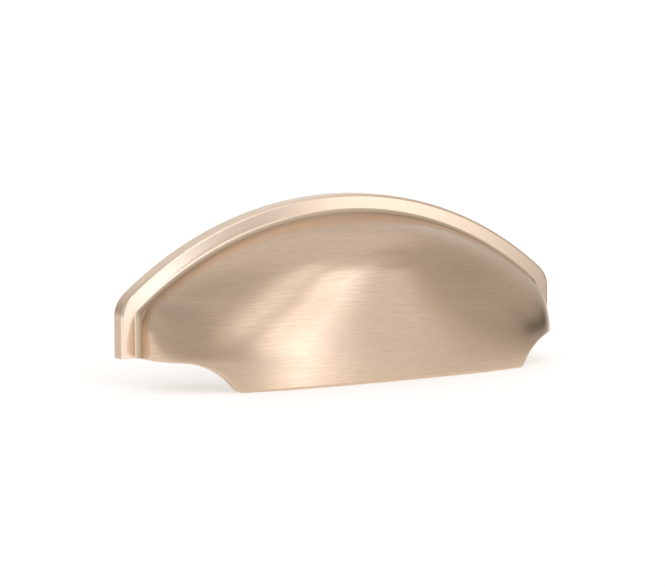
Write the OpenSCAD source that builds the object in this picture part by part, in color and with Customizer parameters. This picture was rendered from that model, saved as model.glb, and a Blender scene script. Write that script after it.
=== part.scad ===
// Cup pull: an arched rim that lies flat on a drawer front and a hollow cup that hangs from it,
// cast in one piece, with two tapped bosses inside the cup for screws from behind.
// X runs across the drawer front, -Y points out to the hand, Z points up.
// The origin lies on the back plane, midway between the two screw holes.

/* [Rim] */
// overall width of the rim, mm
rim_span = 95; // [84:0.5:125]
// height of the rim from its bottom ends to the top of its arch, mm
rim_height = 28.2; // [25:0.1:34]
// height at which the arch and the upright sides would meet, mm
side_height = 10; // [8:0.1:13]
// radius of the two upper corners of the rim, mm
corner_radius = 5.5; // [4.8:0.1:7]
// thickness of the rim from back to front, mm
rim_thickness = 3; // [2:0.1:4.5]
// width of the flat face of the rim, mm
rim_face = 2.7; // [1.8:0.1:3.6]
// rounding of the front outer edge of the rim, mm
rim_edge = 0.5; // [0.2:0.1:1.2]
// radius of the hollow corner between the rim and the cup, mm
cove = 1; // [0.5:0.1:1.4]

/* [Cup] */
// how far the cup stands out from the back plane at its lip, mm
projection = 20.5; // [17:0.5:30]
// how far the lip hangs below the bottom ends of the rim, mm
lip_drop = 5.6; // [3:0.1:9]
// half of the width of the straight part of the lip, mm
lip_half = 31.2; // [24:0.1:34]
// half of the width at which the scallops beside the lip run out, mm
scallop_half = 41; // [38:0.1:43]
// rounding of the two corners of the lip, mm
lip_corner = 0.8; // [0.3:0.1:1.5]
// thickness of the cup's skin, mm
skin = 2.2; // [1.6:0.1:3]
// slope of the roof down from the rim, degrees
roof_slope = 14; // [6:0.5:24]
// radius of the shoulder between roof and front, mm
shoulder_radius = 8; // [5:0.5:12]
// lean of the front wall, degrees
front_lean = 4; // [0:0.5:9]
// radius at which the cup turns from its upright sides into its arched roof, mm
cup_corner = 7; // [6:0.5:14]
// squareness of the front of the cup's plan at the lip, 2 is an ellipse
front_squareness = 2.6; // [2.2:0.1:3.4]
// squareness of the sides of the cup's plan at the lip, 2 is an ellipse
side_squareness = 4.5; // [3:0.1:6]
// squareness of the front of the plan up under the rim's arch, 2 is an ellipse
roof_squareness = 2; // [2:0.1:3]
// squareness of the sides of the plan up under the rim's arch, 2 is an ellipse
end_squareness = 2.4; // [1.6:0.1:3]
// distance of the plan's centre line behind the back plane, mm
plan_setback = 1.5; // [0:0.1:4]

/* [Screw bosses] */
// distance between the two screw holes, mm
hole_spacing = 64; // [50:1:70]
// height of the screw holes above the bottom ends of the rim, mm
hole_height = 9; // [7:0.1:11]
// diameter of the tapping hole, mm
hole_diameter = 3.3; // [2.5:0.1:4.2]
// depth of the tapping hole, mm
hole_depth = 10; // [7:0.5:12]
// diameter of each boss, mm
boss_diameter = 8; // [6.5:0.5:10]

/* [Hidden] */
metal = [0.78, 0.68, 0.58];
// how far solids run on past a cut or into each other
over = 1;
// how far the foot of the cup stands proud of the end of the cove
lap = 0.1;
half_span = rim_span / 2;
arch_radius = (half_span ^ 2 + (rim_height - side_height) ^ 2) / (2 * (rim_height - side_height));
arch_centre = rim_height - arch_radius;
corner_x = half_span - corner_radius;
corner_z = arch_centre + sqrt((arch_radius - corner_radius) ^ 2 - corner_x ^ 2);
corner_turn = atan2(corner_z - arch_centre, corner_x);
// inset, depth and height of the line where the cup leaves the cove
root = rim_face + cove - lap;
root_depth = rim_thickness + cove;
root_top = rim_height - root;
// centre of the turn from each upright side of the cup into its roof
turn_x = half_span - root - cup_corner;
turn_z = arch_centre + sqrt((arch_radius - root - cup_corner) ^ 2 - turn_x ^ 2);
turn_end = atan2(turn_z - arch_centre, turn_x);
// centre of the shoulder rounding in the middle section
shoulder_z = (root_top * cos(roof_slope) - shoulder_radius
    - (projection - lip_drop * tan(front_lean) - shoulder_radius / cos(front_lean) - root_depth) * sin(roof_slope))
    / (cos(roof_slope) - tan(front_lean) * sin(roof_slope));
shoulder_y = projection - (shoulder_z + lip_drop) * tan(front_lean) - shoulder_radius / cos(front_lean);
scallop_radius = ((scallop_half - lip_half) ^ 2 + lip_drop ^ 2) / (2 * lip_drop);
boss_length = projection + over;
arch_steps = 56;
corner_steps = 5;
plan_steps = 60;
lift_steps = 34;

// outline of the rim drawn in by an inset, from the right bottom end over the arch to the left
function half_outline(inset, foot) = concat(
    [[half_span - inset, foot]],
    [for (i = [0:corner_steps]) let (turn = corner_turn * i / corner_steps)
        [corner_x + (corner_radius - inset) * cos(turn), corner_z + (corner_radius - inset) * sin(turn)]],
    [for (i = [1:arch_steps / 2]) let (turn = corner_turn + (90 - corner_turn) * 2 * i / arch_steps)
        [(arch_radius - inset) * cos(turn), arch_centre + (arch_radius - inset) * sin(turn)]]);
function outline(inset, foot) = let (right = half_outline(inset, foot), n = len(right))
    concat(right, [for (i = [n - 2:-1:0]) [-right[i][0], right[i][1]]]);

// half width of the cup at a height, where it leaves the rim, drawn in by an inset
function half_at(z, inset) =
    let (round = cup_corner - inset)
    z <= turn_z ? half_span - root - inset
    : z >= turn_z + round * sin(turn_end) ? sqrt(max(0, (arch_radius - root - inset) ^ 2 - (z - arch_centre) ^ 2))
    : turn_x + sqrt(round ^ 2 - (z - turn_z) ^ 2);

// depth of the middle section at a height, drawn in by an inset
function depth_at(z, inset) =
    let (round = shoulder_radius - inset,
        wall_end = shoulder_z + round * sin(front_lean),
        roof_end = shoulder_z + round * cos(roof_slope))
    z <= wall_end ? projection - (z + lip_drop) * tan(front_lean) - inset / cos(front_lean)
    : z >= roof_end ? root_depth + ((root_top - z) * cos(roof_slope) - inset) / sin(roof_slope)
    : shoulder_y + sqrt(round ^ 2 - (z - shoulder_z) ^ 2);

// share of a way, eased at both ends
function ease(share) = let (s = min(1, max(0, share))) s * s * (3 - 2 * s);

// one level section of the cup from the right to the left, cut off at a depth behind the rim's face
function level(z, inset, foot, steps) =
    let (p = front_squareness + (roof_squareness - front_squareness) * ease(z / root_top),
        q = side_squareness + (end_squareness - side_squareness) * ease(z / (1.2 * side_height)),
        deep = depth_at(z, inset) + plan_setback,
        rise = (root_depth - inset * tan(roof_slope / 2) + plan_setback) / deep,
        wide = half_at(z, inset) / (1 - rise ^ q) ^ (1 / p),
        start = asin(((foot + plan_setback) / deep) ^ (q / 2)))
    [for (j = [0:steps])
        let (turn = start + (180 - 2 * start) * j / steps)
        [wide * sign(cos(turn)) * abs(cos(turn)) ^ (2 / p), plan_setback - deep * sin(turn) ^ (2 / q), z]];

// heights of the level sections, closer together towards the top
function lift(bottom, top, steps) = [for (i = [0:steps]) top - (top - bottom) * (1 - i / steps) ^ 1.8];

// faces of a flat end over a row of points that is the same to both sides
function flat_cap(first, count, turned) =
    [for (i = [0:floor(count / 2) - 1])
        let (a = first + i, b = first + i + 1, c = first + count - 2 - i, d = first + count - 1 - i)
        each (b == c ? [turned ? [a, b, d] : [a, d, b]]
            : turned ? [[a, b, c], [a, c, d]] : [[a, c, b], [a, d, c]])];

// solid bulge bounded by level sections, by a flat back and by flat ends
module bulge(inset, foot, bottom, around, up) {
    heights = lift(bottom, root_top - inset - 0.03, up);
    n = around + 1;
    points = [for (z = heights) each level(z, inset, foot, around)];
    shell = [for (i = [0:up - 1]) for (j = [0:around - 1]) each
        [[i * n + j, i * n + j + 1, (i + 1) * n + j + 1], [i * n + j, (i + 1) * n + j + 1, (i + 1) * n + j]]];
    back = [for (i = [0:up - 1]) each
        [[i * n, (i + 1) * n, (i + 1) * n + around], [i * n, (i + 1) * n + around, i * n + around]]];
    polyhedron(points, concat(shell, back, flat_cap(0, n, false), flat_cap(up * n, n, true)));
}

// rim with its rounded edge and the cove, filled across
module rim() {
    layers = concat(
        [[0, 0]],
        [for (a = [0:22.5:90]) [rim_edge * (1 - cos(a)), rim_thickness - rim_edge + rim_edge * sin(a)]],
        [for (a = [0:22.5:90]) [rim_face + cove * sin(a), rim_thickness + cove * (1 - cos(a))]]);
    n = len(outline(0, -over));
    k = len(layers) - 1;
    points = [for (l = layers) each [for (p = outline(l[0], -over)) [p[0], -l[1], p[1]]]];
    sides = [for (i = [0:k - 1]) for (j = [0:n - 2]) each
        [[i * n + j, (i + 1) * n + j, (i + 1) * n + j + 1], [i * n + j, (i + 1) * n + j + 1, i * n + j + 1]]];
    ends = [for (i = [0:k - 1]) each
        [[n - 1, (i + 1) * n, i * n], [k * n, i * n + n - 1, (i + 1) * n + n - 1]]];
    polyhedron(points, concat(sides, ends, flat_cap(0, n, true), flat_cap(k * n, n, false)));
}

// everything below the bottom edge: flat under the rim, scalloped beside the lip, straight under it
module below() {
    far = half_span + 2 * over;
    deep = lip_drop + 3 * over;
    swing = asin((scallop_half - lip_half) / scallop_radius);
    trim = lip_corner / scallop_radius * 180 / PI;
    arc = [for (i = [0:12]) let (a = (swing - trim) * i / 12)
        [scallop_half - scallop_radius * sin(a), -scallop_radius * (1 - cos(a))]];
    corner = [for (t = [0.25:0.25:1]) (1 - t) ^ 2 * arc[12] + 2 * t * (1 - t) * [lip_half, -lip_drop]
        + t ^ 2 * [lip_half - lip_corner, -lip_drop]];
    right = concat([[far, -deep], [far, 0]], arc, corner);
    left = [for (i = [len(right) - 1:-1:0]) [-right[i][0], right[i][1]]];
    rotate([90, 0, 0])
        translate([0, 0, -over])
            linear_extrude(projection + 3 * over)
                polygon(concat(right, left));
}

// a round bar along the screw axis, to both sides
module on_screw_axes(diameter, from, to) {
    for (side = [-1, 1])
        translate([side * hole_spacing / 2, -from, hole_height])
            rotate([90, 0, 0])
                cylinder(d = diameter, h = to - from, $fn = 64);
}

module cup_pull() {
    color(metal)
        translate([0, 0, -hole_height])
            difference() {
                union() {
                    rim();
                    bulge(0, rim_thickness / 2, -lip_drop - over, plan_steps, lift_steps);
                }
                difference() {
                    bulge(skin, -over, -lip_drop - 2 * over, plan_steps - 10, lift_steps - 6);
                    on_screw_axes(boss_diameter, -2 * over, boss_length);
                }
                below();
                on_screw_axes(hole_diameter, -over, hole_depth);
            }
}

cup_pull();
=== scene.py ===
"""Looks of the cup pull: one casting of brushed warm nickel, with a tapped boss at each side of its hollow."""

import math

import bmesh
import bpy
from bpy.props import FloatProperty, FloatVectorProperty, PointerProperty
from mathutils import Matrix, Vector
from mathutils.kdtree import KDTree


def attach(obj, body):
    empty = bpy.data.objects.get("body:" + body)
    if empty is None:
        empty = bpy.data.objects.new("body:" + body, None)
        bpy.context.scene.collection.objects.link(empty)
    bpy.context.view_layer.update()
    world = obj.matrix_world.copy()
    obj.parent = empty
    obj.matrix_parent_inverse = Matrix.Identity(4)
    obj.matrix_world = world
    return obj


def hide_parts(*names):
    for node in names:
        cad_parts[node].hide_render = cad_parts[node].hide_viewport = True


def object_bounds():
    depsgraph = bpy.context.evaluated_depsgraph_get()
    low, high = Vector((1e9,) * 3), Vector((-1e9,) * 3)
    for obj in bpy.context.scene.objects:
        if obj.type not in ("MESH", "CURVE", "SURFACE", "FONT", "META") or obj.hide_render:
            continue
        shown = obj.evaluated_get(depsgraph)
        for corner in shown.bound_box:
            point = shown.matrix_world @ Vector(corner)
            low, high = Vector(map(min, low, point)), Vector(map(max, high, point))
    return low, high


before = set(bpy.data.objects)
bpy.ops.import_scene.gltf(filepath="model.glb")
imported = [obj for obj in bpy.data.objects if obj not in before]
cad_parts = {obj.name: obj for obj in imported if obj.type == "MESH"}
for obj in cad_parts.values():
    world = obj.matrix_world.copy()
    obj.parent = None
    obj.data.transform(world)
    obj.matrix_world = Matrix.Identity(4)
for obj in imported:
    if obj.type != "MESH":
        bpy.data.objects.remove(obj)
cad_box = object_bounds()

bl_info = {
    "name": "Cup pull",
    "version": (1, 0, 0),
    "blender": (4, 5, 0),
    "location": "View3D > Sidebar > Cup pull",
    "description": "Models a cast cup pull of brushed nickel and sets it on a pale studio floor",
    "category": "Object",
}

MM = 0.001
NODE = "cup_pull"
BODY = "root"

# counts that set how finely the surfaces are divided
SIDE_ROWS = 64
STEP_COLUMNS = 10
CORNER_COLUMNS = 16
ARCH_COLUMNS = 268
EDGE_ROWS = 4
PATH_SAMPLES = 240
BOSS_STEPS = 72
THREAD_ROWS_PER_TURN = 10

# how far the foot of the cup stands proud of the end of the cove
LAP = 0.1 * MM
# how much further each line up the hollow keeps off the hollow's edge than the line beside it
EDGE_GAP = 0.05 * MM
EDGE_LINES = 12
# distance at which two vertices count as one
WELD = 0.002 * MM
# vertical axis, behind the back plane, about which the brushing runs
BRUSH_AXIS_Y = 15 * MM
# brightness of the room by the turn from the front, in degrees, at eye level, above it and higher up
EYE_LEVELS = (
    (-180, 1.0), (-165, 0.62), (-110, 0.58), (-60, 0.54), (-20, 0.48), (-2, 0.46), (6, 0.52), (10, 0.70), (14, 1.4),
    (18, 3.4), (21.5, 4.7), (24, 2.3), (27, 1.8), (29.5, 1.5), (31.2, 0.54), (38, 0.50), (48, 0.44), (60, 0.34),
    (72, 0.20), (97, 0.20), (110, 0.46), (140, 0.65), (150, 1.0),
)
MID_LEVELS = (
    (-180, 0.85), (-165, 0.62), (-110, 0.58), (-60, 0.54), (-20, 0.52), (2, 0.60), (6, 0.78), (10, 1.3), (13, 1.9),
    (16, 1.8), (19, 1.35), (24, 1.05), (28, 0.95), (31, 0.60), (38, 0.58), (48, 0.55), (62, 0.50), (97, 0.46),
    (110, 0.52), (140, 0.65), (150, 0.85),
)
HIGH_LEVELS = (
    (-180, 0.70), (-60, 0.56), (-20, 0.58), (-8, 0.85), (0, 1.2), (6, 1.3), (12, 0.95), (20, 0.86), (30, 0.80),
    (38, 0.66), (45, 0.58), (75, 0.55), (98, 0.58), (120, 0.68), (150, 0.72),
)
# level of the dark patch in the room at the right, and of the ceiling at the left
DARK_PATCH = (0.05, 0.05, 0.05)
CEILING_LEFT = (0.52, 0.52, 0.52)
# powers by which green and blue follow the brightness, so that bright light is cooler
GREEN_POWER = 1.04
BLUE_POWER = 1.12
# length that one unit of the surface map covers
MAP_UNIT = 100 * MM
# short steps beside the turns of the rim's section, which keep the shading of its flats even
HAIR = 0.1 * MM
# angle past which an edge is shaded as a sharp one, in degrees
SHARP_ANGLE = 38.0
# columns over which the rounding of the bottom edge runs in from each end
EDGE_FADE_COLUMNS = 24
# samples along the flat, the scallop, the corner and the straight part of the bottom edge
FLAT_SAMPLES = 60
SCALLOP_SAMPLES = 60
CORNER_SAMPLES = 12
LIP_SAMPLES = 80
# how far the dull corner under the rim, with its painted shade, reaches over the cup, its strength there and its
# roughness
RECESS_REACH = 3.2 * MM
RECESS_STRENGTH = 0.9
RECESS_ROUGHNESS = 0.45
# height below which the rim's outer side takes its darker colour, a painted shade, and the length over which that
# begins
SIDE_SHADE_TOP = 15 * MM
SIDE_SHADE_FADE = 7 * MM
# chamfers of a boss and of its hole, and the depth at which its far end waits to be fitted into the skin
BOSS_CHAMFER = 0.2 * MM
HOLE_CHAMFER = 0.35 * MM
FAR_END = 1.0
# radius of the floor, and the point on it about which its painted glow of the room's levels turns
FLOOR_RADIUS = 6.0
FLOOR_TURN_X = -12 * MM
FLOOR_TURN_Y = -18 * MM
# ways over the floor along which its zones of painted shade and painted glow begin
WAY_BESIDE = (0.800, -0.617, 0.0)
WAY_RIGHT = (0.806, 0.592, 0.0)
WAY_PAST = (0.870, 0.492, 0.0)
WAY_AHEAD = (0.462, -0.887, 0.0)
WAY_LIT = (0.47, -0.88, 0.0)
# glow of the floor's lit strip and of its shaded part ahead, as shares of the floor's own glow
LIT_GLOW = 1.8
AHEAD_GLOW = 0.6
# point that the camera looks at, and the shift of its picture
VIEW_TARGET = (0.0, -10 * MM, 3 * MM)
VIEW_SHIFT = (-0.04565, -0.01672)


def length(name, description, default):
    """A length of the part, given in millimetres."""
    return FloatProperty(
        name=name, description=description, default=default * MM, min=0.0, precision=5, unit="LENGTH"
    )


def ratio(name, description, default, low=0.0, high=10.0):
    """A plain number."""
    return FloatProperty(name=name, description=description, default=default, min=low, max=high)


def turn(name, description, default):
    """An angle, given in degrees."""
    return FloatProperty(
        name=name, description=description, default=math.radians(default), subtype="ANGLE"
    )


def colour(name, description, default):
    """A colour in linear light."""
    return FloatVectorProperty(
        name=name, description=description, default=default, size=3, min=0.0, max=1.0, subtype="COLOR"
    )


class CupPullSizes(bpy.types.PropertyGroup):
    """Sizes of the casting"""

    rim_span: length("Rim span", "Overall width of the rim", (cad_box[1].x - cad_box[0].x) / MM)
    rim_height: length("Rim height", "Height of the rim from its bottom ends to the top of its arch", 28.2)
    side_height: length("Side height", "Height at which the arch and the upright sides would meet", 10.0)
    corner_radius: length("Corner radius", "Radius of the two upper corners of the rim", 5.5)
    rim_thickness: length("Rim thickness", "Thickness of the rim from back to front", 3.0)
    rim_face: length("Rim face", "Width of the flat face of the rim", 2.7)
    rim_edge: length("Rim edge", "Rounding of the front outer edge of the rim", 0.5)
    cove: length("Cove", "Radius of the hollow corner between the rim and the cup", 1.0)
    projection: length("Projection", "How far the cup stands out from the back plane at its lip", 20.5)
    lip_drop: length("Lip drop", "How far the lip hangs below the bottom ends of the rim", 5.6)
    lip_half: length("Half lip", "Half of the width of the straight part of the lip", 31.2)
    scallop_half: length("Half scallop", "Half of the width at which the scallops run out", 41.0)
    lip_corner: length("Lip corner", "Rounding of the two corners of the lip", 0.8)
    lip_edge: length("Lip edge", "Rounding of the edges along the bottom of the skin", 0.35)
    skin: length("Skin", "Thickness of the cup's skin", 2.2)
    roof_slope: turn("Roof slope", "Slope of the roof down from the rim", 14.0)
    shoulder_radius: length("Shoulder radius", "Radius of the shoulder between roof and front", 8.0)
    front_lean: turn("Front lean", "Lean of the front wall", 4.0)
    cup_corner: length("Cup corner", "Radius at which the cup turns from its sides into its roof", 7.0)
    front_squareness: ratio("Front squareness", "Squareness of the front of the plan at the lip", 2.6)
    side_squareness: ratio("Side squareness", "Squareness of the sides of the plan at the lip", 4.5)
    roof_squareness: ratio("Roof squareness", "Squareness of the front of the plan up under the arch", 2.0)
    end_squareness: ratio("End squareness", "Squareness of the sides of the plan up under the arch", 2.4)
    plan_setback: length("Plan setback", "Distance of the plan's centre line behind the back plane", 1.5)
    hole_spacing: length("Hole spacing", "Distance between the two screw holes", 64.0)
    hole_height: length("Hole height", "Height of the screw holes above the bottom ends of the rim", 9.0)
    hole_diameter: length("Hole diameter", "Diameter of the tapping hole", 3.3)
    hole_depth: length("Hole depth", "Depth of the tapping hole", 10.0)
    thread_diameter: length("Thread diameter", "Outer diameter of the tapped thread", 3.9)
    thread_pitch: length("Thread pitch", "Rise of the tapped thread in one turn", 0.7)
    boss_diameter: length("Boss diameter", "Diameter of each boss", 8.0)


class CupPullFinish(bpy.types.PropertyGroup):
    """Colours and gloss of the metal"""

    metal: colour("Metal", "Colour of the brushed nickel", (0.745, 0.568, 0.427))
    metal_dark: colour("Metal, dark lines", "Colour in the grooves of the brushing", (0.675, 0.508, 0.38))
    # the side colour is a painted shade: the lower outer side of the rim is darker than its face
    side: colour("Metal, side", "Colour of the unbuffed outer side of the rim", (0.60, 0.46, 0.35))
    # the corner colour is a painted shade: darker metal in the hollow corner between rim and cup, where shade falls
    corner: colour("Metal, corner", "Colour of the dull line in the corner between rim and cup", (0.61, 0.495, 0.39))
    # the buffed face's colour is partly real buffing and partly a painted sheen: it is lighter than the brushed
    # metal
    buffed_sheen: colour("Metal, buffed", "Colour of the buffed face of the rim", (0.95, 0.768, 0.62))
    inside: colour("Inside", "Colour of the metal as cast, in the hollow", (0.56, 0.47, 0.39))
    inside_dark: colour("Inside, dark", "Colour of the duller patches in the hollow", (0.495, 0.415, 0.345))
    gloss: ratio("Roughness", "Roughness of the brushed metal", 0.21, 0.0, 1.0)
    buffed_gloss: ratio("Roughness, buffed", "Roughness of the buffed face of the rim", 0.17, 0.0, 1.0)
    brush_stretch: ratio("Brush stretch", "How far highlights stretch across the brushing", 0.6, 0.0, 1.0)


class CupPullStage(bpy.types.PropertyGroup):
    """Floor, light and camera"""

    floor: colour("Floor", "Colour of the floor", (0.95, 0.95, 0.95))
    floor_shade: colour("Floor, shaded", "Colour of the floor to the right, away from the light", (0.24, 0.24, 0.24))
    floor_glow: ratio("Floor glow", "Light that the camera sees on top of the lit floor", 0.42, 0.0, 1.0)
    surround: colour("Light", "Colour of the light in the room", (1.0, 0.985, 0.965))
    ceiling: colour("Ceiling", "Brightness of the room overhead", (0.80, 0.80, 0.80))
    view_turn: turn("View turn", "Turn of the camera to the right of the front", -31.562)
    view_rise: turn("View rise", "Height of the camera above the horizon", 6.638)
    view_roll: turn("View roll", "Roll of the camera", 0.083)
    view_distance: length("View distance", "Distance of the camera from the point it looks at", 591.75)
    lens: FloatProperty(
        name="Lens", description="Focal length for a 36 mm sensor", default=169.75, subtype="DISTANCE_CAMERA"
    )


def ease(share):
    """Share of a way, eased at both ends."""
    share = min(1.0, max(0.0, share))
    return share * share * (3 - 2 * share)


class CupForm:
    """The surfaces of the casting, measured up from the bottom ends of the rim and out from the back plane."""

    def __init__(self, sizes):
        self.sizes = s = sizes
        self.half_span = s.rim_span / 2
        rise = s.rim_height - s.side_height
        self.arch_radius = (self.half_span**2 + rise**2) / (2 * rise)
        self.arch_centre = s.rim_height - self.arch_radius
        self.corner_x = self.half_span - s.corner_radius
        reach = (self.arch_radius - s.corner_radius) ** 2 - self.corner_x**2
        self.corner_z = self.arch_centre + math.sqrt(reach)
        self.corner_turn = math.atan2(self.corner_z - self.arch_centre, self.corner_x)
        self.root = s.rim_face + s.cove - LAP
        self.root_depth = s.rim_thickness + s.cove
        self.root_top = s.rim_height - self.root
        self.turn_x = self.half_span - self.root - s.cup_corner
        reach = (self.arch_radius - self.root - s.cup_corner) ** 2 - self.turn_x**2
        self.turn_z = self.arch_centre + math.sqrt(reach)
        self.turn_end = math.atan2(self.turn_z - self.arch_centre, self.turn_x)
        slope, lean, round_ = s.roof_slope, s.front_lean, s.shoulder_radius
        wall = s.projection - s.lip_drop * math.tan(lean) - round_ / math.cos(lean)
        self.shoulder_z = (
            self.root_top * math.cos(slope) - round_ - (wall - self.root_depth) * math.sin(slope)
        ) / (math.cos(slope) - math.tan(lean) * math.sin(slope))
        self.shoulder_y = wall - self.shoulder_z * math.tan(lean)
        self.scallop_radius = ((s.scallop_half - s.lip_half) ** 2 + s.lip_drop**2) / (2 * s.lip_drop)

    def half_width(self, z, inset):
        """Half width of the cup at a height, where it leaves the rim, drawn in by an inset."""
        round_ = self.sizes.cup_corner - inset
        if z <= self.turn_z:
            return self.half_span - self.root - inset
        if z < self.turn_z + round_ * math.sin(self.turn_end):
            return self.turn_x + math.sqrt(round_**2 - (z - self.turn_z) ** 2)
        return math.sqrt(max(0.0, (self.arch_radius - self.root - inset) ** 2 - (z - self.arch_centre) ** 2))

    def depth(self, z, inset):
        """Depth of the middle section at a height."""
        s = self.sizes
        round_ = s.shoulder_radius - inset
        if z <= self.shoulder_z + round_ * math.sin(s.front_lean):
            return s.projection - (z + s.lip_drop) * math.tan(s.front_lean) - inset / math.cos(s.front_lean)
        if z >= self.shoulder_z + round_ * math.cos(s.roof_slope):
            fall = (self.root_top - z) * math.cos(s.roof_slope) - inset
            return self.root_depth + fall / math.sin(s.roof_slope)
        return self.shoulder_y + math.sqrt(round_**2 - (z - self.shoulder_z) ** 2)

    def plan(self, z, inset):
        """Half width, depth and the two squarenesses of the level section at a height."""
        s = self.sizes
        p = s.front_squareness + (s.roof_squareness - s.front_squareness) * ease(z / self.root_top)
        q = s.side_squareness + (s.end_squareness - s.side_squareness) * ease(z / (1.2 * s.side_height))
        deep = self.depth(z, inset) + s.plan_setback
        foot = self.root_depth - inset * math.tan(s.roof_slope / 2) + s.plan_setback
        rest = max(1e-12, 1 - (foot / deep) ** q)
        wide = self.half_width(z, inset) / rest ** (1 / p)
        return max(wide, 1e-9), deep, p, q

    def stand_out(self, x, z, inset=0.0):
        """How far the cup stands out from the back plane at a place of its elevation."""
        wide, deep, p, q = self.plan(z, inset)
        share = min(1.0, abs(x) / wide)
        return deep * (1 - share**p) ** (1 / q) - self.sizes.plan_setback

    def opening_half(self, z):
        """Half width of the hollow where it opens on the back plane."""
        wide, deep, p, q = self.plan(z, self.sizes.skin)
        return wide * (1 - (self.sizes.plan_setback / deep) ** q) ** (1 / p)

    def on_skin(self, place, inset, gap=0.0):
        """The point of the outer or inner skin at a place of its elevation, kept inside the skin's own edge."""
        x, z = place
        limit = self.opening_half(z) if inset else self.half_width(z, 0.0)
        limit = max(0.0, limit - gap)
        least = 0.0 if inset else self.root_depth
        x = max(-limit, min(limit, x))
        return Vector((x, -max(least, self.stand_out(x, z, inset)), z))

    def half_bottom(self, end):
        """Places along the right half of the bottom edge, from an end of the skin to the middle."""
        s = self.sizes
        swing = math.asin((s.scallop_half - s.lip_half) / self.scallop_radius)
        swing -= s.lip_corner / self.scallop_radius
        flat = end - s.scallop_half
        places = [
            (s.scallop_half + flat * (1 - i / FLAT_SAMPLES) ** 2, 0.0) for i in range(FLAT_SAMPLES)
        ]
        for i in range(SCALLOP_SAMPLES + 1):
            a = swing * i / SCALLOP_SAMPLES
            places.append((
                s.scallop_half - self.scallop_radius * math.sin(a),
                -self.scallop_radius * (1 - math.cos(a)),
            ))
        first, peak = Vector(places[-1]), Vector((s.lip_half, -s.lip_drop))
        last = Vector((s.lip_half - s.lip_corner, -s.lip_drop))
        places += [tuple(place) for place in corner_curve(first, peak, last, CORNER_SAMPLES)]
        places += [(last.x * (1 - i / LIP_SAMPLES), last.y) for i in range(1, LIP_SAMPLES + 1)]
        return places

    def bottom_columns(self, inset, end, count):
        """Places of the bottom edge on the outer or inner skin, evenly spaced from the right to the left."""
        right = self.half_bottom(end)
        line = right + [(-x, z) for x, z in reversed(right[:-1])]
        points = [self.on_skin(place, inset) for place in line]
        return [Vector(line_at(line, t)) for t in even_stations(points, count)]

    def cup_edge(self, place):
        """The place on the cup's own edge beside a place on the end of the rim's cove."""
        across, up = abs(place.x) - self.turn_x, place.z - self.turn_z
        if math.atan2(up, across) >= self.turn_end:
            return Vector((place.x, place.z))
        share = self.sizes.cup_corner / math.hypot(across, up)
        return Vector((math.copysign(self.turn_x + across * share, place.x), self.turn_z + up * share))

    def opening_columns(self, count):
        """Places of the hollow's arch on the back plane, evenly spaced from the right to the left."""
        top = self.root_top - self.sizes.skin - 0.02 * MM
        right = []
        for i in range(PATH_SAMPLES):
            z = top - (top - self.turn_z) * (1 - i / PATH_SAMPLES) ** 2
            right.append((self.opening_half(z), z))
        line = right + [(0.0, top)] + [(-x, z) for x, z in reversed(right)]
        points = [Vector((x, 0.0, z)) for x, z in line]
        return [Vector(line_at(line, t)) for t in even_stations(points, count)]


def even_stations(points, count):
    """Positions, counted in points, that cut a line of points into pieces of equal length."""
    run = [0.0]
    for a, b in zip(points, points[1:]):
        run.append(run[-1] + (b - a).length)
    stations, k = [], 0
    for i in range(count + 1):
        want = run[-1] * i / count
        while k < len(run) - 2 and run[k + 1] < want:
            k += 1
        step = run[k + 1] - run[k]
        stations.append(k + ((want - run[k]) / step if step > 0 else 0.0))
    return stations


def line_at(line, station):
    """The place at a position, counted in points, along a line of plane places."""
    k = min(int(station), len(line) - 2)
    t = station - k
    return tuple(a + (b - a) * t for a, b in zip(line[k], line[k + 1]))


def skin_column(form, start, end, inset, rows, gap=0.0):
    """Places along one line of the skin, evenly spaced, kept off the skin's edge by a gap halfway."""
    def point(station):
        t = station / PATH_SAMPLES
        return form.on_skin(start.lerp(end, t), inset, 4 * t * (1 - t) * gap)

    points = [point(i) for i in range(PATH_SAMPLES + 1)]
    return [point(station) for station in even_stations(points, rows)]


def chain(verts):
    """Vertices that form one open line, in order from its lower right end."""
    loose = set(verts)
    here = min(loose, key=lambda v: (round(v.co.z, 7), -v.co.x))
    line = [here]
    loose.discard(here)
    while loose:
        here = next(o for e in here.link_edges if (o := e.other_vert(here)) in loose)
        line.append(here)
        loose.discard(here)
    return line


def loft(bm, row, places):
    """Extrudes a row of vertices into the next row and puts that row in its place."""
    edges = [next(e for e in a.link_edges if e.other_vert(a) is b) for a, b in zip(row, row[1:])]
    made = bmesh.ops.extrude_edge_only(bm, edges=edges)["geom"]
    fresh = {v for v in made if isinstance(v, bmesh.types.BMVert)}
    following = []
    for vert, place in zip(row, places):
        new = next(o for e in vert.link_edges if (o := e.other_vert(vert)) in fresh)
        new.co = place
        following.append(new)
    return following


def pull(bm, vert, by):
    """Extrudes one vertex along a line."""
    new = bmesh.ops.extrude_vert_indiv(bm, verts=[vert])["verts"][0]
    bmesh.ops.translate(bm, verts=[new], vec=by)
    return new


def swing(bm, geom, centre, axis, angle, steps):
    """Spins vertices and edges about an axis and returns the last of them."""
    return bmesh.ops.spin(
        bm, geom=geom, cent=centre, axis=axis, dvec=(0, 0, 0), angle=angle, steps=steps,
        use_merge=False, use_duplicate=False,
    )["geom_last"]


def carry(bm, section, rise, steps):
    """Extrudes a section straight up or down in even steps and returns the last of it."""
    for _ in range(steps):
        edges = [g for g in section if isinstance(g, bmesh.types.BMEdge)]
        made = bmesh.ops.extrude_edge_only(bm, edges=edges)["geom"]
        fresh = [v for v in made if isinstance(v, bmesh.types.BMVert)]
        known = set(fresh)
        section = fresh + [
            e for e in made if isinstance(e, bmesh.types.BMEdge) and all(v in known for v in e.verts)
        ]
        bmesh.ops.translate(bm, verts=fresh, vec=(0, 0, rise / steps))
    return section


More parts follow.
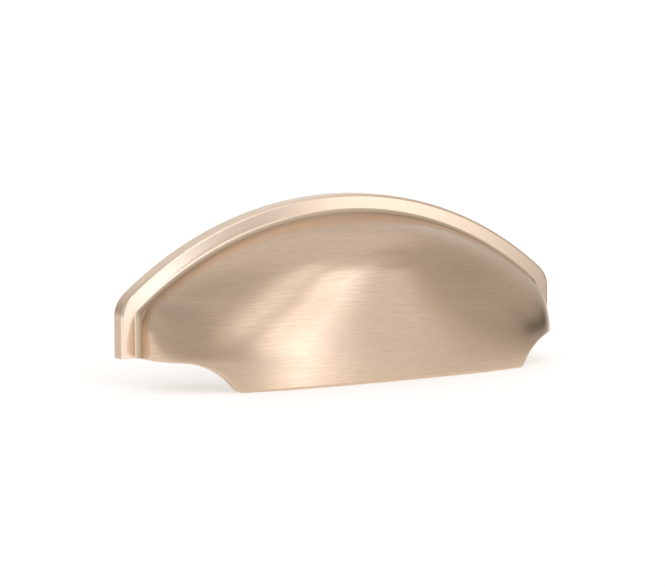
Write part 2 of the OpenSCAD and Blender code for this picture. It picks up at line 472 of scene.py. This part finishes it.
def sweep_rim(bm, form):
    """The rim's section, drawn up from one vertex and carried along the sides, the corners and the arch."""
    s = form.sizes
    half, thick, edge = form.half_span, s.rim_thickness, s.rim_edge
    vert = bm.verts.new((half, 0, 0))
    for step in (HAIR, thick - edge - 2 * HAIR, HAIR):
        vert = pull(bm, vert, (0, -step, 0))
    vert = swing(bm, [vert], (half - edge, edge - thick, 0), (0, 0, -1), math.pi / 2, 8)[0]
    for step in (HAIR, s.rim_face - edge - 2 * HAIR, HAIR):
        vert = pull(bm, vert, (-step, 0, 0))
    before = set(bm.verts)
    centre = Vector((half - s.rim_face, -thick - s.cove, 0))
    swing(bm, [vert], centre, (0, 0, 1), math.pi / 2, 10)
    bmesh.ops.scale(
        bm, vec=((form.root - s.rim_face) / s.cove, 1, 1), space=Matrix.Translation(-centre),
        verts=[v for v in bm.verts if v not in before],
    )
    section = list(bm.verts) + list(bm.edges)
    step = form.corner_z - form.turn_z
    axis = (0, -1, 0)
    section = carry(bm, section, form.turn_z, SIDE_ROWS)
    section = carry(bm, section, step, STEP_COLUMNS)
    section = swing(bm, section, (form.corner_x, 0, form.corner_z), axis, form.corner_turn, CORNER_COLUMNS)
    section = swing(bm, section, (0, 0, form.arch_centre), axis, math.pi - 2 * form.corner_turn, ARCH_COLUMNS)
    section = swing(bm, section, (-form.corner_x, 0, form.corner_z), axis, form.corner_turn, CORNER_COLUMNS)
    section = carry(bm, section, -step, STEP_COLUMNS)
    carry(bm, section, -form.turn_z, SIDE_ROWS)


def corner_curve(before, corner, after, steps):
    """Places round a corner between two places beside it, both of them left out but the last."""
    places = []
    for i in range(1, steps + 1):
        t = i / steps
        places.append((1 - t) ** 2 * before + 2 * t * (1 - t) * corner + t * t * after)
    return places


def skin_places(form, arch, columns):
    """Rows of places over the outer skin, round the bottom edge and up the inner skin to the back plane."""
    s = form.sizes
    outer = form.bottom_columns(0.0, form.half_span - form.root, columns)
    inner = form.bottom_columns(s.skin, form.opening_half(0.0), columns)
    opening = form.opening_columns(columns)
    lines = []
    for j in range(columns + 1):
        if j in (0, columns):
            foot = Vector((arch[j].x, arch[j].y, 0.0))
            down = [arch[j].lerp(foot, k / SIDE_ROWS) for k in range(SIDE_ROWS + 1)]
            heights = [form.turn_z * k / SIDE_ROWS for k in range(SIDE_ROWS + 1)]
            up = [Vector((math.copysign(form.opening_half(z), arch[j].x), 0.0, z)) for z in heights]
        else:
            down = skin_column(form, form.cup_edge(arch[j]), outer[j], 0.0, SIDE_ROWS)
            gap = EDGE_GAP * min(j, columns - j, EDGE_LINES)
            up = skin_column(form, inner[j], opening[j], s.skin, SIDE_ROWS, gap)
        soft = s.lip_edge * ease(min(j, columns - j) / EDGE_FADE_COLUMNS)
        across = (up[0] - down[-1]).normalized()
        out_edge, in_edge = down[-1].copy(), up[0].copy()
        above_out = out_edge + (down[-2] - out_edge).normalized() * soft
        above_in = in_edge + (up[1] - in_edge).normalized() * soft
        turn_out = corner_curve(above_out, out_edge, out_edge + across * soft, EDGE_ROWS)
        turn_in = corner_curve(in_edge - across * soft, in_edge, above_in, EDGE_ROWS)
        down = down[:-1] + [above_out] + turn_out
        up = [in_edge - across * soft] + turn_in + up[1:] + [Vector((up[-1].x, 0.0, up[-1].z))]
        lines.append(down + up)
    return lines


def map_surface(bm):
    """A surface map whose first direction runs across the brushing and whose second runs along it."""
    layer = bm.loops.layers.uv.new("brushing")
    for face in bm.faces:
        for loop in face.loops:
            x, y, z = loop.vert.co
            loop[layer].uv = (
                (z + 0.2 * y) / MAP_UNIT,
                math.atan2(x, BRUSH_AXIS_Y - y) * 3 * BRUSH_AXIS_Y / MAP_UNIT,
            )


def shade(bm):
    """Smooth faces with hard edges where the surface turns sharply."""
    for face in bm.faces:
        face.smooth = True
    for edge in bm.edges:
        edge.smooth = len(edge.link_faces) == 2 and edge.calc_face_angle(0.0) < math.radians(SHARP_ANGLE)


def new_piece(name, bm, materials):
    """An object at the origin from a mesh, riding on the part's body."""
    mesh = bpy.data.meshes.new(name)
    bm.to_mesh(mesh)
    bm.free()
    piece = bpy.data.objects.new(name, mesh)
    bpy.context.scene.collection.objects.link(piece)
    for material in materials:
        mesh.materials.append(material)
    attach(piece, BODY)
    return piece


class Nodes:
    """Short words for laying out a material's nodes."""

    def __init__(self, name, world=False):
        self.owner = bpy.data.worlds.new(name) if world else bpy.data.materials.new(name)
        self.owner.use_nodes = True
        self.tree = self.owner.node_tree
        self.tree.nodes.clear()

    def add(self, kind, settings=(), **inputs):
        """A node with its settings and inputs."""
        node = self.tree.nodes.new(kind)
        for key, value in dict(settings).items():
            setattr(node, key, value)
        for key, value in inputs.items():
            self.set(node, key.replace("_", " "), value)
        return node

    def set(self, node, key, value):
        """Gives an input a value, or links it."""
        self.feed(node.inputs[int(key)] if key.isdigit() else node.inputs[key], value)

    def feed(self, socket, value):
        """Gives a socket a value, or links it."""
        if isinstance(value, bpy.types.NodeSocket):
            self.tree.links.new(value, socket)
        else:
            socket.default_value = value

    def ramp(self, factor, stops):
        """Colours along a factor from 0 to 1."""
        node = self.add("ShaderNodeValToRGB", Fac=factor)
        band = node.color_ramp
        while len(band.elements) > 1:
            band.elements.remove(band.elements[-1])
        for i, (at, value) in enumerate(stops):
            element = band.elements[0] if i == 0 else band.elements.new(at)
            element.position = at
            element.color = (*value, 1.0)
        return node.outputs["Color"]

    def tinted(self, a, b):
        """A colour multiplied by another."""
        node = self.add("ShaderNodeMix", {"data_type": "RGBA", "blend_type": "MULTIPLY"})
        for socket, value in zip((node.inputs[0], node.inputs[6], node.inputs[7]), (1.0, a, (*b, 1.0))):
            self.feed(socket, value)
        return node.outputs[2]

    def spread_even(self, value, low, high):
        """A range of values spread evenly from 0 to 1."""
        node = self.add("ShaderNodeMapRange", From_Min=low, From_Max=high)
        self.feed(node.inputs[0], value)
        return node.outputs[0]

    def scaled(self, vector, scale):
        """Coordinates times a scale."""
        node = self.add("ShaderNodeMapping", Vector=vector, Scale=scale)
        return node.outputs["Vector"]

    def noise(self, vector, scale, detail, roughness):
        """Soft noise over coordinates."""
        node = self.add("ShaderNodeTexNoise", Vector=vector, Scale=scale, Detail=detail, Roughness=roughness)
        return node.outputs["Fac"]

    def mixed(self, factor, a, b):
        """A colour between two colours."""
        node = self.add("ShaderNodeMix", {"data_type": "RGBA"})
        self.feed(node.inputs[0], factor)
        for socket, value in ((node.inputs[6], a), (node.inputs[7], b)):
            self.feed(socket, (*value, 1.0) if isinstance(value, tuple) else value)
        return node.outputs[2]

    def dot(self, vector, way):
        """How far a place lies along a way."""
        node = self.add("ShaderNodeVectorMath", {"operation": "DOT_PRODUCT"})
        self.feed(node.inputs[0], vector)
        self.feed(node.inputs[1], way)
        return node.outputs["Value"]

    def sum(self, kind, a, b):
        """Two values put together by a kind of sum."""
        node = self.add("ShaderNodeMath", {"operation": kind})
        self.feed(node.inputs[0], a)
        self.feed(node.inputs[1], b)
        return node.outputs[0]

    def spread(self, value, low, high, to_low, to_high):
        """A range of values spread over another range, eased at both ends."""
        node = self.add("ShaderNodeMapRange", {"interpolation_type": "SMOOTHSTEP"})
        for socket, item in zip(node.inputs, (value, low, high, to_low, to_high)):
            self.feed(socket, item)
        return node.outputs[0]

    def attribute(self, name):
        """A value stored on the mesh."""
        return self.add("ShaderNodeAttribute", {"attribute_name": name}).outputs["Fac"]


def brushed_nickel(finish):
    """Warm nickel with fine level brushing, and a buffed face on the rim with a painted sheen; painted shade darkens
    the corner under the rim and the rim's lower outer side.
    """
    n = Nodes("brushed_nickel")
    grain = n.add("ShaderNodeUVMap", {"uv_map": "brushing"}).outputs["UV"]
    fine = n.noise(n.scaled(grain, (620.0, 26.0, 1.0)), 1.0, 3.0, 0.6)
    broad = n.noise(n.scaled(grain, (330.0, 6.0, 1.0)), 1.0, 2.0, 0.5)
    cloud = n.noise(n.add("ShaderNodeTexCoord").outputs["Object"], 70.0, 2.0, 0.5)
    lines = n.sum("ADD", n.sum("MULTIPLY", fine, 0.7), n.sum("MULTIPLY", broad, 0.3))
    buffed_and_sheen, shaded_dull_corner, side_shade = (n.attribute(name) for name in ("buffed_and_sheen", "shaded_dull_corner", "side"))
    tone = n.mixed(n.spread(lines, 0.32, 0.62, 0.0, 1.0), tuple(finish.metal_dark), tuple(finish.metal))
    tone = n.mixed(n.spread(cloud, 0.55, 0.75, 0.0, 0.3), tone, tuple(finish.metal_dark))
    # painted shade on the rim's outer side below a height
    tone = n.mixed(side_shade, tone, tuple(finish.side))
    # painted sheen: the buffed face of the rim takes a lighter colour than the brushed metal
    tone = n.mixed(buffed_and_sheen, tone, tuple(finish.buffed_sheen))
    # painted shade in the corner between rim and cup, which is also rougher there
    base = n.mixed(shaded_dull_corner, tone, tuple(finish.corner))
    dull = n.spread(lines, 0.3, 0.7, finish.gloss * 1.1, finish.gloss * 0.92)
    dull = n.spread(buffed_and_sheen, 0.0, 1.0, dull, finish.buffed_gloss)
    rough = n.spread(shaded_dull_corner, 0.0, 1.0, dull, RECESS_ROUGHNESS)
    bump = n.add("ShaderNodeBump", Strength=0.015, Distance=0.00003, Height=lines)
    along = n.add("ShaderNodeTangent", {"direction_type": "UV_MAP", "uv_map": "brushing"})
    shader = n.add("ShaderNodeBsdfPrincipled", Base_Color=base, Roughness=rough, Normal=bump.outputs["Normal"],
                   Tangent=along.outputs["Tangent"], Metallic=1.0, Anisotropic=finish.brush_stretch)
    n.add("ShaderNodeOutputMaterial", Surface=shader.outputs["BSDF"])
    return n.owner


def cast_inside(finish):
    """The duller metal of the hollow, as it left the mould."""
    n = Nodes("cast_inside")
    place = n.add("ShaderNodeTexCoord").outputs["Object"]
    grain = n.noise(place, 2600.0, 4.0, 0.6)
    patch = n.noise(place, 130.0, 3.0, 0.55)
    base = n.mixed(n.spread(patch, 0.35, 0.65, 0.0, 1.0), tuple(finish.inside), tuple(finish.inside_dark))
    rough = n.spread(grain, 0.3, 0.7, 0.42, 0.55)
    bump = n.add("ShaderNodeBump", Strength=0.12, Distance=0.00006, Height=grain)
    shader = n.add("ShaderNodeBsdfPrincipled", Base_Color=base, Roughness=rough,
                   Normal=bump.outputs["Normal"], Metallic=1.0)
    n.add("ShaderNodeOutputMaterial", Surface=shader.outputs["BSDF"])
    return n.owner


def material(name, make):
    """The material of that name, made on first use."""
    return bpy.data.materials.get(name) or make(bpy.context.scene.cup_pull_finish)


class CUPPULL_OT_rim_and_cup(bpy.types.Operator):
    """Model the rim and the hollow cup as one closed casting"""

    bl_idname = "cup_pull.rim_and_cup"
    bl_label = "Rim and cup"

    def execute(self, context):
        form = CupForm(context.scene.cup_pull_sizes)
        s = form.sizes
        bm = bmesh.new()
        buffed_and_sheen = bm.verts.layers.float.new("buffed_and_sheen")
        shaded_dull_corner = bm.verts.layers.float.new("shaded_dull_corner")
        side = bm.verts.layers.float.new("side")
        sweep_rim(bm, form)
        face_start = s.rim_thickness - s.rim_edge
        for vert in bm.verts:
            depth = -vert.co.y
            below = min(1.0, max(0.0, (depth - s.rim_thickness) / s.cove))
            # painted shade: below a height the rim's outer side takes the darker side colour instead of the buffed
            # face's
            side_shade_share = 0.0
            if depth < face_start + 0.3 * s.rim_edge:
                side_shade_share = ease((SIDE_SHADE_TOP - vert.co.z) / SIDE_SHADE_FADE)
            vert[buffed_and_sheen] = max(0.0, 1.0 - 4 * below) - side_shade_share
            # the rim's cove takes the corner's painted shade
            vert[shaded_dull_corner] = 0.5 + 0.5 * below if below > 0.02 else 0.0
            vert[side] = side_shade_share
        back = chain([v for v in bm.verts if abs(v.co.y) < WELD / 10])
        root = chain([v for v in bm.verts if abs(v.co.y + form.root_depth) < WELD / 10])
        columns = 2 * (STEP_COLUMNS + CORNER_COLUMNS) + ARCH_COLUMNS
        arch = root[SIDE_ROWS:SIDE_ROWS + columns + 1]
        lines = skin_places(form, [v.co for v in arch], columns)
        edge = [v.co for v in root] + [line[0] for line in lines]
        corner = KDTree(len(edge))
        for i, place in enumerate(edge):
            corner.insert(place, i)
        corner.balance()
        row, right, left = arch, [], []
        last = len(lines[0]) - 1
        first_inner = last - SIDE_ROWS - 1
        outer_faces = set(bm.faces)
        for k in range(last + 1):
            row = loft(bm, row, [line[k] for line in lines])
            for vert in row:
                # the corner's painted shade fades over the cup with distance from the cove
                away = corner.find(vert.co)[2] / RECESS_REACH
                vert[shaded_dull_corner] = RECESS_STRENGTH * ease(1.0 - away) if k < SIDE_ROWS else 0.0
            if k == first_inner - EDGE_ROWS:
                outer_faces = set(bm.faces)
            if first_inner <= k < last:
                right.append(row[0])
                left.append(row[-1])
        bmesh.ops.weld_verts(bm, targetmap={row[0]: right[-1], row[-1]: left[-1]})
        opening = right + row[1:-1] + left[::-1]
        back_places = [v.co.copy() for v in back]
        if len(opening) != len(back_places):
            raise RuntimeError("the hollow and the rim have different numbers of vertices on the back plane")
        for face in bm.faces:
            face.material_index = 0 if face in outer_faces else 1
        before = set(bm.faces)
        loft(bm, opening, back_places)
        for face in bm.faces:
            if face not in before:
                face.material_index = 1
        for vert in bm.verts:
            if vert.co.y > -2 * WELD:
                vert.co.y = 0.0
        bmesh.ops.remove_doubles(bm, verts=bm.verts[:], dist=WELD)
        open_edges = [e for e in bm.edges if len(e.link_faces) == 1]
        ends = bmesh.ops.holes_fill(bm, edges=open_edges, sides=0)["faces"]
        bmesh.ops.triangulate(bm, faces=ends)
        bmesh.ops.recalc_face_normals(bm, faces=bm.faces[:])
        if any(len(e.link_faces) != 2 for e in bm.edges):
            raise RuntimeError("the casting is not closed")
        map_surface(bm)
        shade(bm)
        bmesh.ops.translate(bm, verts=bm.verts[:], vec=(0, 0, -s.hole_height))
        piece = new_piece("rim_and_cup", bm, [material("brushed_nickel", brushed_nickel),
                                              material("cast_inside", cast_inside)])
        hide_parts(NODE)
        return {"FINISHED"}


class CUPPULL_OT_screw_bosses(bpy.types.Operator):
    """Model the two bosses in the hollow, with their tapped holes"""

    bl_idname = "cup_pull.screw_bosses"
    bl_label = "Screw bosses"

    def execute(self, context):
        form = CupForm(context.scene.cup_pull_sizes)
        s = form.sizes
        bm = bmesh.new()
        for side in (-1, 1):
            self.boss(bm, form, side * s.hole_spacing / 2)
        bmesh.ops.remove_doubles(bm, verts=bm.verts[:], dist=WELD)
        bmesh.ops.recalc_face_normals(bm, faces=bm.faces[:])
        map_surface(bm)
        shade(bm)
        bmesh.ops.translate(bm, verts=bm.verts[:], vec=(0, 0, -s.hole_height))
        new_piece("screw_bosses", bm, [material("cast_inside", cast_inside)])
        return {"FINISHED"}

    def boss(self, bm, form, x):
        """One boss: its section, spun about the screw's axis, fitted into the skin and tapped."""
        s = form.sizes
        known = set(bm.verts)
        outer, hole, z = s.boss_diameter / 2, s.hole_diameter / 2, s.hole_height
        vert = bm.verts.new((x + outer, -FAR_END, z))
        vert = pull(bm, vert, (0, FAR_END - BOSS_CHAMFER, 0))
        vert = pull(bm, vert, (-BOSS_CHAMFER, BOSS_CHAMFER, 0))
        vert = pull(bm, vert, (-(outer - hole - HOLE_CHAMFER - BOSS_CHAMFER), 0, 0))
        vert = pull(bm, vert, (-HOLE_CHAMFER, -HOLE_CHAMFER, 0))
        turns = (s.hole_depth - HOLE_CHAMFER) / s.thread_pitch
        rows = int(turns * THREAD_ROWS_PER_TURN)
        for _ in range(rows):
            vert = pull(bm, vert, (0, -(s.hole_depth - HOLE_CHAMFER) / rows, 0))
        pull(bm, vert, (-hole, -0.45 * hole, 0))
        fresh = [v for v in bm.verts if v not in known]
        line = list(dict.fromkeys(e for v in fresh for e in v.link_edges))
        bmesh.ops.spin(bm, geom=fresh + line, cent=(x, 0, z), axis=(0, 1, 0), dvec=(0, 0, 0),
                       angle=2 * math.pi, steps=BOSS_STEPS, use_merge=True, use_duplicate=False)
        for vert in bm.verts:
            if vert in known:
                continue
            out = Vector((vert.co.x - x, vert.co.z - z))
            if vert.co.y < -FAR_END / 2:
                vert.co.y = -form.stand_out(vert.co.x, vert.co.z, s.skin) - 0.3 * s.skin
            elif abs(out.length - hole) < 0.01 * MM and vert.co.y < -HOLE_CHAMFER - 0.05 * MM:
                wave = (-vert.co.y / s.thread_pitch + math.atan2(out.y, out.x) / (2 * math.pi)) % 1.0
                cut = max(0.0, 1 - abs(wave - 0.5) / 0.4) * (s.thread_diameter - s.hole_diameter) / 2
                vert.co.x += out.x / out.length * cut
                vert.co.z += out.y / out.length * cut


class CUPPULL_OT_stage(bpy.types.Operator):
    """Lay the pale floor, set the soft light and place the camera"""

    bl_idname = "cup_pull.stage"
    bl_label = "Stage"

    def execute(self, context):
        stage = context.scene.cup_pull_stage
        self.floor(stage)
        self.room(context.scene, stage)
        self.camera(context.scene, stage)
        context.scene.view_settings.view_transform = "Standard"
        return {"FINISHED"}

    def floor(self, stage):
        """A pale floor that keeps the part's shadow and, past the picture, carries painted shade and a painted glow
        that copies the room's levels.
        """
        bm = bmesh.new()
        bmesh.ops.create_circle(bm, cap_ends=True, segments=96, radius=FLOOR_RADIUS)
        bmesh.ops.translate(bm, verts=bm.verts[:], vec=(0, 0, cad_box[0].z))
        mesh = bpy.data.meshes.new("floor")
        bm.to_mesh(mesh)
        bm.free()
        n = Nodes("pale_floor")
        place = n.add("ShaderNodeTexCoord").outputs["Object"]
        mottle = n.noise(place, 30.0, 3.0, 0.5)
        tone = tuple(stage.floor)
        base = n.mixed(n.spread(mottle, 0.3, 0.7, 0.0, 1.0), tone, tuple(c * 0.99 for c in tone))
        spot = n.add("ShaderNodeSeparateXYZ", Vector=place)
        across = n.sum("SUBTRACT", spot.outputs["X"], FLOOR_TURN_X)
        out = n.sum("SUBTRACT", FLOOR_TURN_Y, spot.outputs["Y"])
        painted_room_glow = self.levels(n, n.sum("ARCTAN2", across, out), EYE_LEVELS)
        span = n.add("ShaderNodeVectorMath", {"operation": "LENGTH"}, Vector=place).outputs["Value"]
        beside = n.spread(n.dot(place, WAY_BESIDE), 0.064, 0.09, 0.0, 1.0)
        to_right = n.dot(place, WAY_RIGHT)
        right_way = n.spread(to_right, 0.0, 0.04, 0.0, 1.0)
        near = n.sum("MAXIMUM", n.spread(span, 0.12, 0.17, 1.0, 0.0), right_way)
        beside = n.sum("MULTIPLY", beside, near)
        past = n.spread(n.dot(place, WAY_PAST), -0.02, 0.01, 0.0, 1.0)
        ahead = n.spread(n.dot(place, WAY_AHEAD), 0.135, 0.20, 0.0, 1.0)
        ahead = n.sum("MULTIPLY", ahead, n.sum("SUBTRACT", 1.0, past))
        lit_way = n.spread(n.dot(place, WAY_LIT), 0.17, 0.26, 0.0, 1.0)
        lit_way = n.sum("MULTIPLY", lit_way, n.spread(to_right, -0.02, 0.02, 1.0, 0.0))
        lit_way = n.sum("MULTIPLY", lit_way, past)
        away = n.sum("MAXIMUM", beside, ahead)
        base = n.mixed(away, base, tuple(stage.floor_shade))
        path = n.add("ShaderNodeLightPath")
        seen = n.sum("MAXIMUM", path.outputs["Is Camera Ray"], path.outputs["Is Glossy Ray"])
        seen = n.sum("MAXIMUM", seen, path.outputs["Is Transmission Ray"])
        lit = n.add("ShaderNodeBsdfDiffuse", Color=base)
        plain = n.spread(lit_way, 0.0, 1.0, stage.floor_glow, LIT_GLOW * stage.floor_glow)
        plain = n.sum("MULTIPLY", plain, n.spread(ahead, 0.0, 1.0, 1.0, AHEAD_GLOW))
        level = n.mixed(beside, plain, painted_room_glow)
        glow = n.add("ShaderNodeEmission", Color=level, Strength=seen)
        both = n.add("ShaderNodeAddShader")
        n.set(both, "0", lit.outputs[0])
        n.set(both, "1", glow.outputs[0])
        n.add("ShaderNodeOutputMaterial", Surface=both.outputs[0])
        mesh.materials.append(n.owner)
        floor = bpy.data.objects.new("floor", mesh)
        bpy.context.scene.collection.objects.link(floor)

    def levels(self, n, round_, stops):
        """Brightness by the turn from the front, cooler where it is brighter."""
        around = n.spread_even(round_, -math.pi, math.pi)
        stops = [(0.5 + at / 360.0, (level, level**GREEN_POWER, level**BLUE_POWER)) for at, level in stops]
        return n.ramp(around, stops)

    def room(self, scene, stage):
        """The room's light, painted on the world by turn and height."""
        n = Nodes("studio_room", world=True)
        way = n.add("ShaderNodeSeparateXYZ", Vector=n.add("ShaderNodeTexCoord").outputs["Generated"])
        round_ = n.sum("ARCTAN2", way.outputs["X"], n.sum("MULTIPLY", way.outputs["Y"], -1.0))
        height = way.outputs["Z"]
        eye, mid, high = (self.levels(n, round_, stops) for stops in (EYE_LEVELS, MID_LEVELS, HIGH_LEVELS))
        dark = n.sum("MULTIPLY", n.spread(round_, 1.0, 1.25, 0.0, 1.0), n.spread(round_, 1.7, 2.0, 1.0, 0.0))
        dark = n.sum("MULTIPLY", dark, n.spread(height, 0.07, 0.16, 1.0, 0.0))
        tone = n.mixed(n.spread(height, 0.02, 0.10, 0.0, 1.0), eye, mid)
        tone = n.mixed(dark, tone, DARK_PATCH)
        tone = n.mixed(n.spread(height, 0.20, 0.40, 0.0, 1.0), tone, high)
        rightward = n.spread(way.outputs["X"], -0.45, 0.05, 0.0, 1.0)
        ceiling = n.mixed(rightward, CEILING_LEFT, tuple(stage.ceiling))
        tone = n.mixed(n.spread(height, 0.60, 0.85, 0.0, 1.0), tone, ceiling)
        tone = n.tinted(tone, tuple(stage.surround))
        light = n.add("ShaderNodeBackground", Color=tone, Strength=1.0)
        n.add("ShaderNodeOutputWorld", Surface=light.outputs[0])
        scene.world = n.owner

    def camera(self, scene, stage):
        """The camera, turned and raised about the point it looks at."""
        data = bpy.data.cameras.new("camera")
        data.sensor_fit = "HORIZONTAL"
        data.sensor_width = 36.0
        data.lens = stage.lens
        data.shift_x, data.shift_y = VIEW_SHIFT
        data.clip_start, data.clip_end = 0.01, 50.0
        camera = bpy.data.objects.new("camera", data)
        scene.collection.objects.link(camera)
        a, e = stage.view_turn, stage.view_rise
        back = Vector((math.sin(a) * math.cos(e), -math.cos(a) * math.cos(e), math.sin(e)))
        right = Vector((math.cos(a), math.sin(a), 0))
        up = back.cross(right)
        turned = Matrix((right, up, back)).transposed().to_4x4()
        roll = Matrix.Rotation(-stage.view_roll, 4, "Z")
        place = Vector(VIEW_TARGET) + back * stage.view_distance
        camera.matrix_world = Matrix.Translation(place) @ turned @ roll
        scene.camera = camera


class CUPPULL_PT_panel(bpy.types.Panel):
    """Sizes, colours and steps of the cup pull"""

    bl_idname = "CUPPULL_PT_panel"
    bl_label = "Cup pull"
    bl_space_type = "VIEW_3D"
    bl_region_type = "UI"
    bl_category = "Cup pull"

    def draw(self, context):
        """Lists the steps, then the sizes and colours."""
        layout = self.layout
        for operator in OPERATORS:
            layout.operator(operator.bl_idname)
        for group_name, kind in GROUPS:
            box = layout.box()
            for name in kind.__annotations__:
                box.prop(getattr(context.scene, group_name), name)


GROUPS = (
    ("cup_pull_sizes", CupPullSizes),
    ("cup_pull_finish", CupPullFinish),
    ("cup_pull_stage", CupPullStage),
)
OPERATORS = (CUPPULL_OT_rim_and_cup, CUPPULL_OT_screw_bosses, CUPPULL_OT_stage)


def register():
    """Adds the groups, the operators and the panel to Blender."""
    for name, group in GROUPS:
        bpy.utils.register_class(group)
        setattr(bpy.types.Scene, name, PointerProperty(type=group))
    for operator in OPERATORS:
        bpy.utils.register_class(operator)
    bpy.utils.register_class(CUPPULL_PT_panel)


def unregister():
    """Takes them out again."""
    bpy.utils.unregister_class(CUPPULL_PT_panel)
    for operator in reversed(OPERATORS):
        bpy.utils.unregister_class(operator)
    for name, group in reversed(GROUPS):
        delattr(bpy.types.Scene, name)
        bpy.utils.unregister_class(group)


def main():
    """Models the part and sets the stage."""
    register()
    bpy.ops.cup_pull.rim_and_cup()
    bpy.ops.cup_pull.screw_bosses()
    bpy.ops.cup_pull.stage()


if __name__ == "__main__":
    main()
